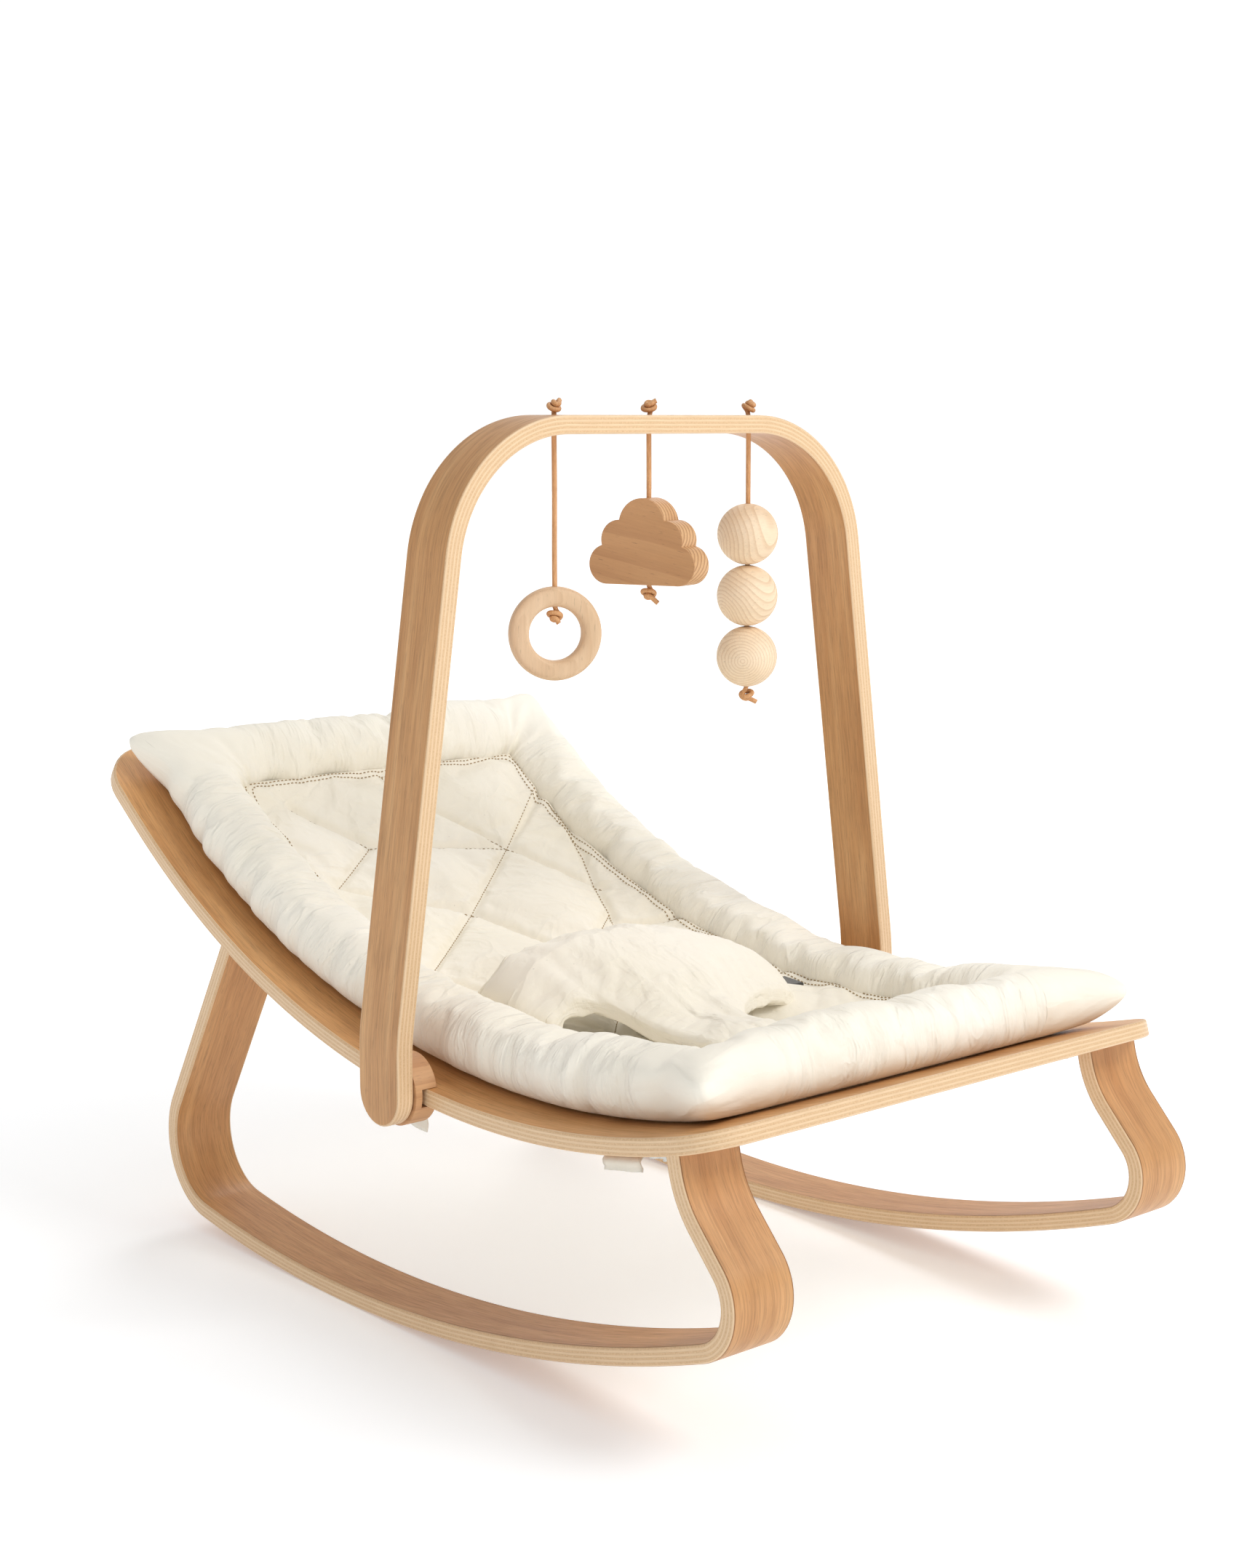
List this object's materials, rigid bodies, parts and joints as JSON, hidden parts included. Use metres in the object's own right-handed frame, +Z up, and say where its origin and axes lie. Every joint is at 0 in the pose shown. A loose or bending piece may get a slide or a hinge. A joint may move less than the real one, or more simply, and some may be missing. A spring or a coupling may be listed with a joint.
{
  "type": "baby rocker seat",
  "caption": "Low infant rocker seat: curved plywood panel on two bent rockers, quilted cushion with stuffed border, waist harness and tilting toy arch.",
  "frame": {"origin": "centre of the bounding box on the floor, under the middle of the seat", "axes": "+Z up, +X to the seated child's left, -Y the foot end, +Y the head end"},
  "size_m": [0.4436, 0.6909, 0.5886],
  "materials": {
    "bead_wood": "bare sanded beech with visible growth rings",
    "ring_wood": "bare sanded beech",
    "cloud_wood": "oiled beech, flecked",
    "lace_leather": "smooth natural leather lace",
    "panel_plywood": "clear matt lacquered birch plywood, bare sanded edges",
    "runner_plywood": "clear matt lacquered bent plywood",
    "arch_plywood": "clear matt lacquered bent plywood",
    "block_wood": "oiled beech",
    "washer_nylon": "natural nylon",
    "zinc_steel": "bright zinc plated steel",
    "buckle_plastic": "matt moulded plastic",
    "roll_fabric": "unbleached cotton, stuffed",
    "quilt_fabric": "unbleached cotton, quilted",
    "harness_fabric": "unbleached cotton, padded",
    "flap_fabric": "unbleached cotton ribbon and flap"
  },
  "bodies": {
    "seat": {"bracket_screws": "zinc_steel", "cushion_foot_flap": "flap_fabric", "cushion_head_flap": "flap_fabric", "cushion_quilt": "quilt_fabric", "cushion_roll": "roll_fabric", "cushion_side_tabs": "flap_fabric", "leg_brackets": "zinc_steel", "runner_left": "runner_plywood", "runner_right": "runner_plywood", "seat_panel": "panel_plywood", "waist_buckle": "buckle_plastic"},
    "clamps": {"clamp_block_left": "block_wood", "clamp_block_right": "block_wood"},
    "arch": {"arch_strip": "arch_plywood", "pivot_screws": "zinc_steel", "pivot_washers": "washer_nylon", "top_knots": "lace_leather"},
    "harness": {"harness_pad": "harness_fabric"},
    "ring_line_top": {"ring_lace_top": "lace_leather"},
    "ring_line": {"ring_lace": "lace_leather", "ring_knot": "lace_leather"},
    "ring_body": {"toy_ring": "ring_wood"},
    "cloud_line_top": {"cloud_lace_top": "lace_leather"},
    "cloud_line": {"cloud_lace": "lace_leather", "cloud_knot": "lace_leather"},
    "cloud_body": {"toy_cloud": "cloud_wood"},
    "bead_line_top": {"bead_lace_top": "lace_leather"},
    "bead_line": {"bead_lace": "lace_leather", "bead_knot": "lace_leather"},
    "bead_1_body": {"bead_1": "bead_wood"},
    "bead_2_body": {"bead_2": "bead_wood"},
    "bead_3_body": {"bead_3": "bead_wood"}
  },
  "joints": [
    {"name": "arch_slide", "type": "hinge", "parent": "seat", "child": "clamps", "pos_m": [0, -0.1165, 0.8395], "axis": [1, 0, 0], "range_deg": [-10, 8]},
    {"name": "arch_tilt", "type": "hinge", "parent": "clamps", "child": "arch", "pos_m": [0, -0.0447, 0.1628], "axis": [1, 0, 0], "range_deg": [-25, 60]},
    {"name": "ring_swing", "type": "hinge", "parent": "arch", "child": "ring_line_top", "pos_m": [-0.0785, -0.0447, 0.5655], "axis": [1, 0, 0], "range_deg": [-75, 75]},
    {"name": "ring_sway", "type": "hinge", "parent": "ring_line_top", "child": "ring_line", "pos_m": [-0.0785, -0.0447, 0.5655], "axis": [0, 1, 0], "range_deg": [-8, 8]},
    {"name": "ring_spin", "type": "hinge", "parent": "ring_line", "child": "ring_body", "pos_m": [-0.0785, -0.0447, 0.45], "axis": [0, 0, 1], "continuous": true},
    {"name": "cloud_swing", "type": "hinge", "parent": "arch", "child": "cloud_line_top", "pos_m": [0.0015, -0.0447, 0.5655], "axis": [1, 0, 0], "range_deg": [-75, 75]},
    {"name": "cloud_sway", "type": "hinge", "parent": "cloud_line_top", "child": "cloud_line", "pos_m": [0.0015, -0.0447, 0.5655], "axis": [0, 1, 0], "range_deg": [-8, 8]},
    {"name": "cloud_spin", "type": "hinge", "parent": "cloud_line", "child": "cloud_body", "pos_m": [0.0015, -0.0447, 0.45], "axis": [0, 0, 1], "continuous": true},
    {"name": "bead_swing", "type": "hinge", "parent": "arch", "child": "bead_line_top", "pos_m": [0.0915, -0.0447, 0.5655], "axis": [1, 0, 0], "range_deg": [-75, 75]},
    {"name": "bead_sway", "type": "hinge", "parent": "bead_line_top", "child": "bead_line", "pos_m": [0.0915, -0.0447, 0.5655], "axis": [0, 1, 0], "range_deg": [-8, 8]},
    {"name": "bead_1_spin", "type": "hinge", "parent": "bead_line", "child": "bead_1_body", "pos_m": [0.0915, -0.0447, 0.45], "axis": [0, 0, 1], "continuous": true},
    {"name": "bead_2_spin", "type": "hinge", "parent": "bead_line", "child": "bead_2_body", "pos_m": [0.0915, -0.0447, 0.45], "axis": [0, 0, 1], "continuous": true},
    {"name": "bead_3_spin", "type": "hinge", "parent": "bead_line", "child": "bead_3_body", "pos_m": [0.0915, -0.0447, 0.45], "axis": [0, 0, 1], "continuous": true},
    {"name": "harness_fold", "type": "hinge", "parent": "seat", "child": "harness", "pos_m": [-0.0075, -0.2033, 0.1895], "axis": [-1, 0, 0], "range_deg": [-90, 0]}
  ]
}
